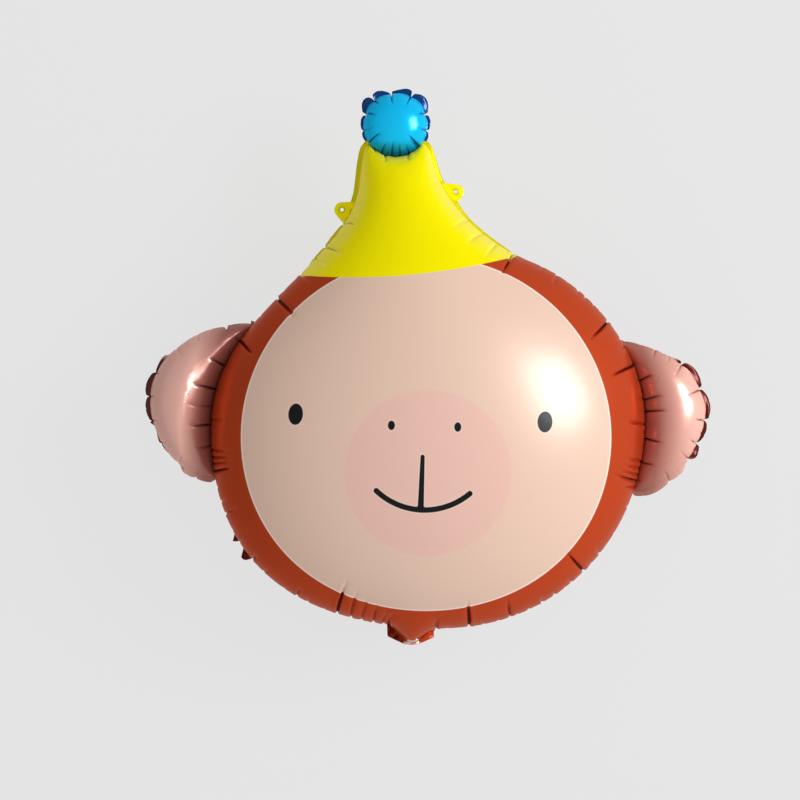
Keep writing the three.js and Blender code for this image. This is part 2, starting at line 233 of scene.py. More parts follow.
class Tucks:
    """Creases that start at the seam.

    Each has a place along it, a strength, and for front and back how far in it runs and how it drifts on the
    way. The ones in view are given by x and y of both ends and a strength. The others are spread at random,
    main ones about a bay apart and fine ones between.
    """

    MAIN = 0.42  # above this strength, a crease parts the border into petals
    CLEAR = 0.65  # above this strength, a crease is deepest at the seam
    PAST_END = 1.25  # times its given length, a crease in view has faded out
    LEAST_GAP = 2.2
    BENT = 190.0  # a seam bent to this radius or less draws its creases in fully
    PLAY = 0.42  # how far a crease may wander sideways, of the nearer gap
    CUT = 1.7  # how square a crease's section is: 2 is a bell
    MAIN_COLUMNS = np.array([0, 0.4, 0.8, 1.25, 1.9, 3.2, 5.2])
    FINE_COLUMNS = np.array([0, 0.5, 1.1, 2.0, 3.8])

    def __init__(self, outline, bay, seed, in_view, depth, reach, width, puff, fine=1):
        self.outline, self.bay, self.fine, self.reach = outline, bay, fine, reach
        self.width, self.puff, self.deepest = width, puff, depth
        rng = np.random.default_rng(seed)
        rows = sorted(self._given(*crease, rng) for crease in in_view)
        rows = np.array(rows + self._others([row[0] for row in rows], rng))
        rows[:, 0] %= outline.length
        rows = rows[np.argsort(rows[:, 0])]
        rows = rows[np.append(True, outline.gaps(rows[:, 0])[:-1] > self.LEAST_GAP)]
        self.s, self.strength = rows[:, 0], rows[:, 1]
        self.far, self.drift = rows[:, 2:4], rows[:, 4:6]
        pull = np.clip(np.interp(self.s, outline.marks, outline.bend) * self.BENT, 0.25, 1.0)
        pull[rows[:, 6] > 0] = 1.0
        self.depth = depth * self.strength * pull
        self.lip = rng.choice([-1, 1], len(rows))
        self.wave = rng.uniform(-1, 1, (len(rows), 2))
        gaps = outline.gaps(self.s)
        self.play = self.PLAY * np.minimum(gaps, np.roll(gaps, 1))

    def _given(self, x, y, to_x, to_y, strength, rng):
        s = self.outline.nearest((x, y))
        out = self.outline.out(s)
        run = (to_x, to_y) - self.outline.at(s)
        far = max(-run @ out, 3.0)
        drift = run @ np.array([-out[1], out[0]]) / far
        behind = self.reach[0] + (self.reach[1] - self.reach[0]) * rng.random()
        return s, strength, self.PAST_END * far, behind, drift, rng.normal(0, 0.15), 1

    def _others(self, spots, rng):
        """Main creases between the given ones, and fine ones between them all."""
        rows = []
        near, far = self.reach
        for spot, gap in zip(spots, self.outline.gaps(np.array(spots))):
            count = max(1, round(gap / self.bay))
            places = [spot + (m + rng.uniform(-0.28, 0.28)) * gap / count for m in range(1, count)]
            for k, (s, after) in enumerate(zip([spot] + places, places + [spot + gap])):
                if k:
                    run = near + (far - near) * rng.random(2)
                    rows.append((s, rng.uniform(0.45, 1.0), *run, *rng.normal(0, 0.15, 2), 0))
                room = after - s
                number = self.fine if room > 0.55 * self.bay else int(room > 0.3 * self.bay)
                for n in range(number):
                    place = s + room * (n + 1 + rng.uniform(-0.3, 0.3)) / (number + 1)
                    run = near * rng.uniform(0.25, 1.3, 2)
                    rows.append((place, rng.uniform(0.08, 0.3), *run, *rng.normal(0, 0.2, 2), 0))
        return rows

    def columns(self, pitch):
        """Places along the seam, close together at each crease."""

        def spread(k, half):
            near = self.MAIN_COLUMNS if self.strength[k] > self.MAIN else self.FINE_COLUMNS
            steps = np.append(near, np.arange(near[-1] + pitch * 0.8, half, pitch))
            return steps[steps < half - 0.25 * pitch]

        places = []
        for k, (s, gap) in enumerate(zip(self.s, self.outline.gaps(self.s))):
            places.append(s + spread(k, gap / 2))
            places.append(s + gap - spread((k + 1) % len(self.s), gap / 2)[1:][::-1])
        return np.sort(np.concatenate(places) % self.outline.length)

    def section(self, k, x, share):
        """How deep crease k draws the skin x off it, and how tightly it is shut, which sets how dark the
        painted crease shade is there. share is 1 at the seam.
        """
        taper = share**0.6 * (1 - (self.strength[k] <= self.CLEAR) * 0.65 * share**4)
        narrow = self.width * (0.8 + 0.5 * share)
        opening = narrow + 1.5 * self.width * (1 - share) ** 2
        sharp = np.exp(-((np.abs(x) / opening) ** self.CUT))
        broad = np.exp(-np.abs(x) / (8 * self.width)) * share**0.5
        lip = np.exp(-(((x * self.lip[k] - 2.6 * self.width) / (1.7 * self.width)) ** 2))
        shape = (1 - self.puff) * sharp + self.puff * broad - (0.3 - 0.16 * share) * lip
        shut = np.exp(-((np.abs(x) / narrow) ** self.CUT)) * min(self.depth[k] / self.deepest, 1.0) ** 2
        return self.depth[k] * taper * shape, shut * np.clip(share * 4, 0, 1)


@dataclass
class Border:
    """How the welded border leaves the seam. The arrays are for places along it."""

    width: np.ndarray
    fold: np.ndarray  # how far it is folded back, in radians
    recess: np.ndarray  # how far the seam itself is drawn in
    held: np.ndarray  # near 1 where a weld holds the seam against the tucks
    notch: float  # the share of a tuck's depth that shows in the outline
    ease: float  # how soon the skin takes on its own tucks
    sway: float  # how far neighbouring petals lean apart, in radians
    petal: float = 0.0  # how much narrower a petal is at its ends


# The blown-up skin

def solve_membrane(points, triangles, fixed, most_steps=1500):
    """Height of a stretched skin under even pressure, by conjugate gradients. The fixed points stay at 0."""
    rows, cols, weights = [], [], []
    area = np.zeros(len(points))
    doubled = np.maximum(doubled_areas(points, triangles), 1e-9)
    for k in range(3):
        p, q, r = (triangles[:, (k + m) % 3] for m in range(3))
        u, v = points[q] - points[p], points[r] - points[p]
        w = (u * v).sum(1) / doubled / 2
        rows += [q, r]
        cols += [r, q]
        weights += [w, w]
        area += np.bincount(p, doubled / 6, len(points))
    rows, cols, weights = (np.concatenate(x) for x in (rows, cols, weights))
    diagonal = np.bincount(rows, weights, len(points))
    free = ~fixed

    def apply(x):
        return (diagonal * x - np.bincount(rows, weights * x[cols], len(points))) * free

    diagonal = np.where(free, diagonal, 1)
    x = np.zeros(len(points))
    residual = area * free
    scaled = residual / diagonal
    direction = scaled.copy()
    size = residual @ scaled
    for _ in range(most_steps):
        image = apply(direction)
        step = size / (direction @ image)
        x += step * direction
        residual -= step * image
        scaled = residual / diagonal
        size, last = residual @ scaled, size
        if size < 1e-16 * (area @ area):
            break
        direction = scaled + size / last * direction
    return x


class Chamber:
    """One inflated chamber. Columns run in from the seam as far as the band, and a cap covers the middle.

    rows counts the steps down a column. pitch is the columns' spacing between creases, and lattice the cap's.
    border gives the Border for places in plan, and crest adds height there.
    """

    ROWS_IN = np.array([0.02, 0.05, 0.1, 0.17, 0.26, 0.37, 0.5, 0.65, 0.82, 1.0])
    RINGS_PAST_BAND = ((0.45, 2), (1.1, 4))  # how far past it, and every how many columns
    LEAST_GAPS = (0.3, 0.42, 1.75)  # from ring to band, ring to ring and lattice to band, in lattice spacings
    ROOM_USED = 0.74  # how much of the room inside the outline the columns may take
    BAND_SLOPE = 0.45
    FINE_STEPS = 240
    EVENNESS = 0.62  # of the steps down a column: 1 would be all even
    WAVE, WAVE_LENGTH = 0.9, 13.0  # how a tuck snakes on its way in
    TUCK_REACH = 34.0  # a tuck moves nothing farther off sideways than this
    RECESS_REACH = 7.0
    BORDER_ROWS = (0.34, 0.67, 1.0)
    PINCH = 0.3  # how much narrower the border is at the deepest notch
    UNEVEN_PETALS = 0.45

    def __init__(self, outline, tucks, border, depth, band, rows, lattice, pitch, crest=None):
        self.outline, self.tucks, self.depth, self.crest = outline, tucks, depth, crest
        self.s = tucks.columns(pitch)
        self.count = len(self.s)
        self.place, self.out = outline.at(self.s), outline.out(self.s)
        self.band = self._band(band)
        self._plan(lattice)
        self._profile(rows)
        self._build(border(self.place))

    def _band(self, most):
        """How far in each column runs: less where the outline is narrow, with no sudden steps."""
        marks = np.linspace(0, self.outline.length, 400, endpoint=False)
        room = np.minimum(self.ROOM_USED * self.outline.room(marks), most)
        step = self.outline.length / len(marks) * self.BAND_SLOPE
        count = len(room)
        for k in list(range(-count, count)) * 3:
            room[k % count] = min(room[k % count], room[(k - 1) % count] + step)
            room[-k % count] = min(room[-k % count], room[(1 - k) % count] + step)
        return np.interp(self.s, np.append(marks, self.outline.length), closed(blur_ring(room, 1.2)))

    def _plan(self, lattice):
        """Triangles in plan, and how high an even skin would stand over each point."""
        rings = [self.place] + [self.place - self.out * (f * self.band)[:, None] for f in self.ROWS_IN]
        inner = rings[-1]
        middle = self._middle(inner, lattice)
        points = np.concatenate(rings + middle)
        total = self.count
        ring_start = total * len(self.ROWS_IN)
        loops = [(m + k, m + (k + 1) % total) for m in (0, ring_start) for k in range(total)]
        _, _, polygons, merged, _, _ = delaunay_2d_cdt([Vector(p) for p in points], loops, [], 1, 1e-7)
        source = [max(own) if own else -1 for own in merged]
        faces = np.array([[source[k] for k in polygon] for polygon in polygons])
        faces = faces[(faces >= 0).all(1)]
        turned = doubled_areas(points, faces) < 0
        faces[turned] = faces[turned][:, ::-1]
        fixed = np.ones(len(points), bool)
        fixed[faces.ravel()] = False
        fixed[:total] = True
        level = solve_membrane(points, faces, fixed)
        for own in merged:
            if own:
                level[own] = level[max(own)]
        self.level = level / level.max()
        caps = faces[(faces >= ring_start).all(1)]
        self.cap_faces = caps[within(inner, points[caps].mean(1))] - ring_start
        self.cap_points = points[ring_start:]
        self.cap_height = self._rise(self.level[ring_start:], self.cap_points)

    def _middle(self, inner, lattice):
        """Points inside the band: two thinning rings, then a lattice."""
        to_band, to_ring, to_lattice = (lattice * gap for gap in self.LEAST_GAPS)
        rings = [(inner - self.out * far * lattice)[::every] for far, every in self.RINGS_PAST_BAND]
        kept = []
        for p in np.concatenate(rings):
            if ((inner - p) ** 2).sum(1).min() > to_band**2:
                if not kept or ((np.array(kept) - p) ** 2).sum(1).min() > to_ring**2:
                    kept.append(p)
        low, high = self.place.min(0), self.place.max(0)
        grid = []
        for k, y in enumerate(np.arange(low[1], high[1], lattice * math.sqrt(3) / 2)):
            x = np.arange(low[0] + (k % 2) * lattice / 2, high[0], lattice)
            grid.append(np.column_stack([x, np.full(len(x), y)]))
        grid = np.concatenate(grid)
        grid = grid[within(self.outline.points[::4], grid)]
        nearest = np.array([np.argmin(((inner - p) ** 2).sum(1)) for p in grid])
        gap = inner[nearest] - grid
        past_band = (gap * self.out[nearest]).sum(1) > 0
        return [np.array(kept), grid[past_band & (np.hypot(*gap.T) > to_lattice)]]

    def _rise(self, level, plan):
        """Height of the skin where an even one would stand at this level."""
        level = np.maximum(level, 0)
        height = self.depth * level**INFLATED_POWER
        return height + self.crest(plan) * level if self.crest else height

    def _profile(self, rows):
        """Each column's distance in and height, at steps along the skin."""
        depths = np.append(0, self.ROWS_IN)
        levels = self.level[: self.count * len(depths)].reshape(len(depths), self.count)
        fine = np.linspace(0, 1, self.FINE_STEPS) ** 3
        steps = np.linspace(0, 1, rows + 1)
        steps = self.EVENNESS * steps + (1 - self.EVENNESS) * steps**2
        self.inward, self.height, self.along = (np.zeros((rows + 1, self.count)) for _ in range(3))
        for k in range(self.count):
            slope = levels[1:, k] / depths[1:]
            slope = np.append(slope[0] + (slope[0] - slope[1]) * 0.6, slope)
            level = np.interp(fine, depths, slope) * fine
            d = fine * self.band[k]
            h = self._rise(level, self.place[k] - self.out[k] * d[:, None])
            run = np.append(0, np.cumsum(np.hypot(np.diff(d), np.diff(h))))
            self.along[:, k] = steps * run[-1]
            self.inward[:, k] = np.interp(self.along[:, k], run, d)
            self.height[:, k] = np.interp(self.along[:, k], run, h)
        self.height[-1] = self.cap_height[: self.count]
        self.inward[-1] = self.band

    def _base(self, face, side):
        """The skin before the tucks, with its columns led along them; face is 0 in front and 1 behind."""
        t, outline = self.tucks, self.outline
        base = np.zeros((*self.along.shape, 3))
        for r in range(len(base)):
            share = self.along[r] / self.along[-1]
            fade = np.clip(1 - share, 0, 1) ** 0.3 * np.clip(share * 8, 0, 1)
            wave = t.wave[:, face] * self.WAVE * math.sin(self.along[r].mean() / self.WAVE_LENGTH + 3 * face)
            path = t.drift[:, face] * self.inward[r].mean() + wave
            path = t.play * np.tanh(path / t.play)
            s = self.s + outline.between(self.s, t.s, path) * fade
            inward = outline.between(s, self.s, self.inward[r])
            base[r, :, :2] = outline.at(s) - outline.out(s) * inward[:, None]
            base[r, :, 2] = outline.between(s, self.s, self.height[r]) * side
        return base

    def _normals(self, base, side):
        across = np.roll(base, -1, axis=1) - np.roll(base, 1, axis=1)
        normal = np.cross(across, np.gradient(base, axis=0)) * side
        normal[0] = with_third(self.out, 0)
        return normal / np.linalg.norm(normal, axis=2, keepdims=True)

    def _creases(self, face):
        """How deep the tucks draw the skin, and how tightly they are shut, which sets the painted crease
        shade.
        """
        t, length = self.tucks, self.outline.length
        draw, crease_shade = np.zeros_like(self.along), np.zeros_like(self.along)
        for k in range(len(t.s)):
            x = (self.s - t.s[k] + length / 2) % length - length / 2
            near = np.abs(x) < self.TUCK_REACH
            column = np.argmin(np.abs(x))
            limit = np.interp(t.far[k, face], self.inward[:, column], self.along[:, column])
            share = np.clip(1 - self.along[:, near] / limit, 0, 1)
            deep, shut = t.section(k, x[near], share)
            draw[:, near] += deep
            crease_shade[:, near] = np.maximum(crease_shade[:, near], shut)
        end = np.clip((1 - self.along[:, :1] / self.along[-1:, :1]) * 5, 0, 1)
        return draw * end, crease_shade * end

    def _build(self, border):
        """Both skins as (side, points, untucked points, painted crease shade from how tightly shut), and the
        border's rows.
        """
        draws, crease_shades = zip(*(self._creases(face) for face in (0, 1)))
        self.skins = []
        seam_draw = (draws[0][0] + draws[1][0]) / 2 * (1 - border.held) * border.notch
        settle = np.exp(-((self.along / border.ease) ** 2))
        recess = border.recess * np.exp(-((self.along / self.RECESS_REACH) ** 2))
        for face, side in enumerate((FRONT, BACK)):
            base = self._base(face, side)
            draw = draws[face] + (seam_draw - draws[face][0]) * settle + recess
            shape = base - self._normals(base, side) * draw[..., None]
            self.skins.append((side, shape, base, crease_shades[face]))
        self.rim, self.untucked_rim = self.skins[0][1][0], self.skins[0][2][0]
        self.border = self._border_rows(border, seam_draw)

    def _border_rows(self, border, seam_draw):
        """Rows of points out from the seam, parted into petals by the main tucks."""
        t = self.tucks
        parting = t.s[t.strength > t.MAIN]
        lean = np.where(np.arange(len(parting)) % 2, 1, -1)
        turns = self.outline.three_turns(parting)
        order = np.interp(self.s, turns, np.arange(len(turns)))
        petal = np.sin(math.pi * (order % 1)) ** 0.5
        uneven = np.random.default_rng(len(t.s)).uniform(-1, 1, len(turns))
        ends = 1 - petal + self.UNEVEN_PETALS * uneven[order.astype(int)]
        width = border.width * (1 - border.petal * ends)
        pinch = seam_draw / max(seam_draw.max(), 1e-6)
        angle = border.fold + border.sway * self.outline.between(self.s, parting, lean)
        along = with_third(self.out * np.cos(angle)[:, None], -np.sin(angle))
        steps = [width * share * (1 - self.PINCH * pinch * share) for share in self.BORDER_ROWS]
        return [self.rim + along * step[:, None] for step in steps]


# Meshes

def print_places(points, side):
    """What the materials read: where the camera sees a point on the seam's plane, and its side."""
    grow = 1 / (1 - points[:, 2:3] / CAMERA_ABOVE_SEAM)
    return with_third(CAMERA_PLAN + (points[:, :2] - CAMERA_PLAN) * grow, side)


def quads(grid):
    """Faces between each row of points and the next, closed into rings."""
    after = np.roll(grid, -1, axis=1)
    return np.stack([grid[:-1], after[:-1], after[1:], grid[1:]], axis=-1).reshape(-1, 4)


def chamber_object(name, made, material):
    """One closed mesh: front skin, back skin and the two faces of the border."""
    total, border = made.count, np.stack(made.border[::-1])
    verts, prints, crease_shades, faces, edges = [], [], [], [], []

    def add_faces(polygons, side):
        faces.extend((polygons if side == FRONT else polygons[:, ::-1]).tolist())

    for side, shape, base, crease_shade in made.skins:
        lift = (0, 0, BORDER_HALF * side)
        middle = with_third(made.cap_points[total:], made.cap_height[total:] * side)
        rows = np.concatenate([border + lift, shape[:1] + lift, shape[1:]])
        untucked = np.concatenate([made.untucked_rim + (border - made.rim), base])
        sides = np.repeat([ON_BORDER * side] * len(border) + [side] * len(shape), total)
        grid = sum(map(len, verts)) + np.arange(len(sides)).reshape(-1, total)
        verts += [rows.reshape(-1, 3), middle]
        prints += [print_places(untucked.reshape(-1, 3), sides), print_places(middle, side)]
        crease_shades += [0.5 * crease_shade[0]] * len(border) + [crease_shade.ravel(), np.zeros(len(middle))]
        add_faces(quads(grid), side)
        edges.append(grid[0])
        if side == BACK:
            add_faces(quads(np.stack(edges)), BACK)
        index = np.concatenate([grid[-1], grid[-1, -1] + 1 + np.arange(len(middle))])
        add_faces(index[made.cap_faces], side)
    verts = np.concatenate(verts)
    verts[:, 2] = np.maximum(verts[:, 2], -FLAT_BACK) + SEAM_HEIGHT
    mesh = mesh_object(name, verts, faces, np.concatenate(prints), material)
    # how tightly each point's tuck is shut, read by the materials as painted crease shade
    attribute = mesh.attributes.new("crease_shade", "FLOAT", "POINT")
    attribute.data.foreach_set("value", np.concatenate(crease_shades).astype(np.float32))


def reach_round(points, centre, turns):
    """How far the convex outline of these points is from the centre, at each turn."""
    rays = np.linspace(0, 2 * math.pi, 180, endpoint=False)
    support = ((np.array(points) - centre) @ heading(rays).T).max(0)
    facing = np.cos(rays[None] - np.array(turns)[:, None])
    return np.where(facing > 0.02, support / np.maximum(facing, 0.02), np.inf).min(1)


def leaf_object(name, points, centre, hole, rise, material, side=FRONT, rings=7, spokes=72):
    """A thin closed sheet round a centre, with a hole or none; rise bends it up or down."""
    turns = np.linspace(0, 2 * math.pi, spokes, endpoint=False)
    reach = reach_round(points, np.array(centre), turns)
    rows = []
    for share in np.linspace(0, 1, rings + 1)[0 if hole else 1 :]:
        far = hole + (reach - hole) * share
        plan = np.array(centre) + heading(turns) * far[:, None]
        rows.append(with_third(plan, rise(plan, share)))
    up = np.array([0, 0, LEAF_HALF])
    verts = np.concatenate([row + up for row in rows] + [row - up for row in reversed(rows)])
    grid = np.arange(len(verts)).reshape(-1, spokes)
    faces = quads(closed(grid) if hole else grid)[:, [0, 3, 2, 1]].tolist()
    if not hole:
        top, bottom = len(verts), len(verts) + 1
        middle = with_third(np.array([centre]), rise(np.array([centre]), 0.0))
        verts = np.concatenate([verts, middle + up, middle - up])
        faces += [[top, a, b] for a, b in zip(grid[0], np.roll(grid[0], -1))]
        faces += [[bottom, b, a] for a, b in zip(grid[-1], np.roll(grid[-1], -1))]
    mesh_object(name, verts + (0, 0, SEAM_HEIGHT), faces, print_places(verts, side), material)


def placed(name, data):
    obj = bpy.data.objects.new(name, data)
    bpy.context.scene.collection.objects.link(obj)
    return obj


def mesh_object(name, verts, faces, prints, material):
    mesh = bpy.data.meshes.new(name)
    mesh.from_pydata((verts * MM).tolist(), [], faces)
    mesh.validate()
    attribute = mesh.attributes.new("print_at", "FLOAT_VECTOR", "POINT")
    attribute.data.foreach_set("vector", prints.astype(np.float32).ravel())
    mesh.shade_smooth()
    mesh.materials.append(material)
    obj = placed(name, mesh)
    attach(obj, "root")
    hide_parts("balloon")
    return mesh


# The print, with painted shade, reflection and sheen, in millimetres as the camera sees it on the plane of
# the seam

PEACH = (0.775, 0.545, 0.43)
ROSE = (0.79, 0.50, 0.42)
PALE_EDGE = (0.92, 0.76, 0.66)
INK = (0.004, 0.004, 0.004)
RED_BROWN = (0.58, 0.066, 0.017)
# painted shade, for border petals and the tail's left side where they lie in shadow
SHADED_BROWN = (0.09, 0.009, 0.004)
YELLOW = (0.95, 0.84, 0.0)
SHEEN_YELLOW = (0.92, 0.82, 0.4)  # painted sheen on the hat's steep sides
# painted shade, for the hat's border and round the tab eyelets
SHADED_OLIVE = (0.42, 0.36, 0.0)
PINK = (0.89, 0.49, 0.41)
# painted shade, with the red of the head's reflection, on the ears next to the head
SHADE = (0.27, 0.07, 0.045)
BLUE = (0.0, 0.51, 0.89)
# painted shade on the bobble's lower part, petals and creases
SHADED_BLUE = (0.0, 0.04, 0.18)
# painted shade: the dark line where a tuck is shut
CREASE_SHADE = (0.03, 0.005, 0.002)
SILVER = (0.62, 0.60, 0.56)
WARM_TINT, BLUE_TINT = (0.9, 0.7, 0.62), (0.5, 0.8, 1.0)

FACE_CENTRE = (-2.0, 1.0)
FACE_ACROSS, FACE_UP, FACE_DOWN = 196.0, 191.5, 184.0  # how far the face patch reaches from there
JOWLS = 0.11  # how much fuller than an oval its lower corners are
EDGE_LINE = 1.3  # width of the pale line round it
BRIM_TOP = (-80.4, 170.0)  # the lowest point of the hat's printed edge
BRIM_CURVE = 0.00074
SIDE_SHEEN = 0.36
TAIL_TOP, LIP_TOP = -185.0, -215.8
MUZZLE = (0.0, -37.0, 88.3)  # centre and radius
EYES = ((-140.0, 25.2, 7.8, 11.4, 0.08), (123.8, 17.0, 8.0, 11.2, 0.05))  # centre, half sizes and lean
NOSTRILS = ((-38.7, 13.4, 3.8, 5.1, 0.0), (31.5, 11.6, 3.8, 5.1, 0.0))
NOSE_TOP, NOSE_FOOT = (-5.7, -19.9), (-7.7, -74.5)
NOSE_WIDTHS = (2.3, 3.3)
SMILE = (-3.5, -1.8, 74.4)  # centre and radius of its arc
SMILE_ENDS = np.radians((-133.5, -50.0))
SMILE_TOP = -30.0  # the arc lies all below this, from its centre
SMILE_HALF_WIDTH = 3.0


class Value:
    """A number in a material's nodes, so that the print can be written as sums."""

    def __init__(self, socket):
        self.socket = socket

    def _math(self, operation, *others, clamp=False):
        node = self.socket.id_data.nodes.new("ShaderNodeMath")
        node.operation = operation
        node.use_clamp = clamp
        for slot, value in zip(node.inputs, (self, *others)):
            feed(slot, value)
        return Value(node.outputs[0])

    def __add__(self, other):
        return self._math("ADD", other)

    def __sub__(self, other):
        return self._math("SUBTRACT", other)

    def __mul__(self, other):
        return self._math("MULTIPLY", other)

    def root(self):
        return self._math("SQRT")

    def unsigned(self):
        return self._math("ABSOLUTE")

    def least(self, other, round_off=0.0):
        return self._math("SMOOTH_MIN", other, round_off)

    def most(self, other):
        return self._math("MAXIMUM", other)

    def clamped(self):
        return self._math("ADD", 0.0, clamp=True)

    def inside(self, blur=0.35):
        """1 where a distance is below zero, 0 above, with this much blur in millimetres."""
        return (self * (-0.5 / blur) + 0.5).clamped()


def feed(slot, value):
    """Set a node's slot, or link it to a value or another node."""
    if isinstance(value, Value):
        value = value.socket
    if isinstance(value, bpy.types.NodeSocket):
        slot.id_data.links.new(value, slot)
    else:
        slot.default_value = (*value, 1) if isinstance(value, tuple) else value


def split(vector):
    node = vector.id_data.nodes.new("ShaderNodeSeparateXYZ")
    feed(node.inputs[0], vector)
    return [Value(output) for output in node.outputs]


def new_material(name):
    """A material, its nodes and its shader's inputs."""
    material = bpy.data.materials.new(name)
    material.use_nodes = True
    nodes = material.node_tree.nodes
    return material, nodes, nodes["Principled BSDF"].inputs


def length(u, v):
    return (u * u + v * v).root()


def oval(x, y, middle_x, middle_y, half_width, half_height, lean):
    """Distance to a leaning oval."""
    u, v = x - middle_x, y - middle_y
    across = u * math.cos(lean) - v * math.sin(lean)
    along = u * math.sin(lean) + v * math.cos(lean)
    return (length(across * (1 / half_width), along * (1 / half_height)) - 1) * half_width


def stroke(x, y, start, end, widths):
    """Distance to a line with round ends, whose half-width changes along it."""
    run = (end[0] - start[0], end[1] - start[1])
    u, v = x - start[0], y - start[1]
    share = ((u * run[0] + v * run[1]) * (1 / (run[0] ** 2 + run[1] ** 2))).clamped()
    gap = length(u - share * run[0], v - share * run[1])
    return gap - (share * (widths[1] - widths[0]) + widths[0])


def smile(x, y):
    """Distance to an arc with round ends."""
    middle_x, middle_y, radius = SMILE
    u, v = x - middle_x, y - middle_y
    bow = (length(u, v) - radius).unsigned().most(v - SMILE_TOP)
    tips = []
    for turn, way in zip(SMILE_ENDS, (1, -1)):
        cos, sin = math.cos(turn), math.sin(turn)
        past_end = (u * sin - v * cos) * way
        bow = bow.most(past_end * 6)
        tips.append(length(u - radius * cos, v - radius * sin))
    return bow.least(tips[0].least(tips[1])) - SMILE_HALF_WIDTH


def face_edge(x, y):
    """Distance outside the face patch: half an oval above, a fuller half below."""
    u = (x - FACE_CENTRE[0]) * (1 / FACE_ACROSS)
    v = y - FACE_CENTRE[1]
    above, below = (v * (1 / FACE_UP)).most(0.0), (v * (-1 / FACE_DOWN)).most(0.0)
    corner = u * below
    return ((u * u + above * above + below * below - corner * corner * JOWLS).root() - 1) * FACE_UP


class Foil:
    """A satin printed foil: layers of colour over each other, print and painted shade, reflection and sheen,
    and one shader.
    """

    CLOUDS = 26.0  # how many patches of uneven gloss there are to a metre
    UNEVEN = 0.06

    def __init__(self, name, base):
        self.material, self.nodes, self.inputs = new_material(name)
        self.x, self.y, self.side = split(self._stored("print_at", "Vector"))
        self.crease_shade = Value(self._stored("crease_shade", "Fac"))
        self.colour = base

    def _stored(self, name, output):
        node = self.nodes.new("ShaderNodeAttribute")
        node.attribute_name = name
        return node.outputs[output]

    def border(self):
        return (self.side.unsigned() * -1 + 1.5).inside(0.1)

    def lying(self):
        """1 where the foil lies flat, 0 where it stands upright."""
        return split(self.nodes.new("ShaderNodeNewGeometry").outputs["Normal"])[2].unsigned()

    def lay(self, mask, colour, strength=1.0):
        """Lay a colour over the ones before it, for the print and for painted shade, reflection and sheen."""
        node = self.nodes.new("ShaderNodeMix")
        node.data_type = "RGBA"
        for slot, value in ((0, mask * strength), (6, self.colour), (7, colour)):
            feed(node.inputs[slot], value)
        self.colour = node.outputs[2]

    # Painted shade: darkens the colour along the tucks where they are shut, in place of the shade inside each
    # crease.
    def paint_crease_shade(self, colour, strength, gain=2.0):
        self.lay((self.crease_shade * gain - 0.5).clamped(), colour, strength)

    def finish(self, metallic, roughness, coat, coat_roughness=0.3, tint=WARM_TINT):
        """Set the shader. The white gloss is all in the coat, so the foil under it stays deep in colour."""
        cloud = self.nodes.new("ShaderNodeTexNoise")
        feed(cloud.inputs["Vector"], self.nodes.new("ShaderNodeTexCoord").outputs["Object"])
        feed(cloud.inputs["Scale"], self.CLOUDS)
        feed(cloud.inputs["Detail"], 4)
        settings = {
            "Base Color": self.colour,
            "Metallic": metallic,
            "Roughness": Value(cloud.outputs[0]) * self.UNEVEN - self.UNEVEN / 2 + roughness,
            "Specular IOR Level": 0.0,
            "Specular Tint": tint,
            "Coat Weight": coat,
            "Coat Roughness": coat_roughness,
        }
        for name, value in settings.items():
            feed(self.inputs[name], value)
        return self.material


def print_face(foil):
    """Face patch, muzzle and line work, on the front only. Gives the patch's mask."""
    x, y, front = foil.x, foil.y, (foil.side * -1).inside(0.1)
    edge = face_edge(x, y)
    face = edge.inside() * front
    foil.lay(face, PALE_EDGE)
    foil.lay((edge + EDGE_LINE).inside(0.5) * front, PEACH)
    foil.lay((length(x - MUZZLE[0], y - MUZZLE[1]) - MUZZLE[2]).inside(1.2) * front, ROSE)
    marks = stroke(x, y, NOSE_TOP, NOSE_FOOT, NOSE_WIDTHS).least(smile(x, y), 3.0)
    for spot in EYES + NOSTRILS:
        marks = marks.least(oval(x, y, *spot))
    foil.lay((marks - 0.8).inside(0.5) * front, PALE_EDGE, 0.6)
    foil.lay(marks.inside() * front, INK)
    return face


def hat_print_and_sheen(foil):
    """The hat, down to its curved edge, with a painted sheen on its steep sides. Gives its mask."""
    from_middle = foil.x - BRIM_TOP[0]
    brim = from_middle * from_middle * BRIM_CURVE + BRIM_TOP[1]
    hat = (brim - foil.y).inside()
    foil.lay(hat, YELLOW)
    # painted sheen: steep sides are laid paler, as if they reflected the white room
    sheen_mask = (foil.lying() * -2.0 + 1.3).clamped()
    foil.lay(hat * sheen_mask, SHEEN_YELLOW, SIDE_SHEEN)
    return hat


def border_print_and_shade(foil, hat):
    """The border, with painted shade: dark at the left cheek, olive on the hat and round the tab eyelets,
    dark on the filler tail's left side, and a pale pink painted reflection on its lip.
    """
    x, y, border = foil.x, foil.y, foil.border()
    # painted shade: the border under the left cheek is laid dark
    shaded_left_cheek = (x + 150).inside(1.0) * (y + 60).inside(1.0)
    foil.lay(border * shaded_left_cheek, SHADED_BROWN)
    # painted shade on the hat's tilted border
    foil.lay(border * hat, SHADED_OLIVE, 0.55)
    # painted shade round each tab's eyelet
    for eye in TAB_EYES:
        foil.lay((length(x - eye[0], y - eye[1]) - 3.6).inside(0.8), SHADED_OLIVE, 0.6)
    tail = border * (y - TAIL_TOP).inside(1.0)
    # painted shade on the left side of the filler tail
    foil.lay(tail * (x + 25).inside(2.0), SHADED_BROWN, 0.8)
    # painted reflection: a pale pink lip on the tail below the valve
    lip = (y - LIP_TOP).inside(0.8) * ((x - NECK_MIDDLE).unsigned() - 9).inside(1.5)
    foil.lay(tail * lip, PINK)


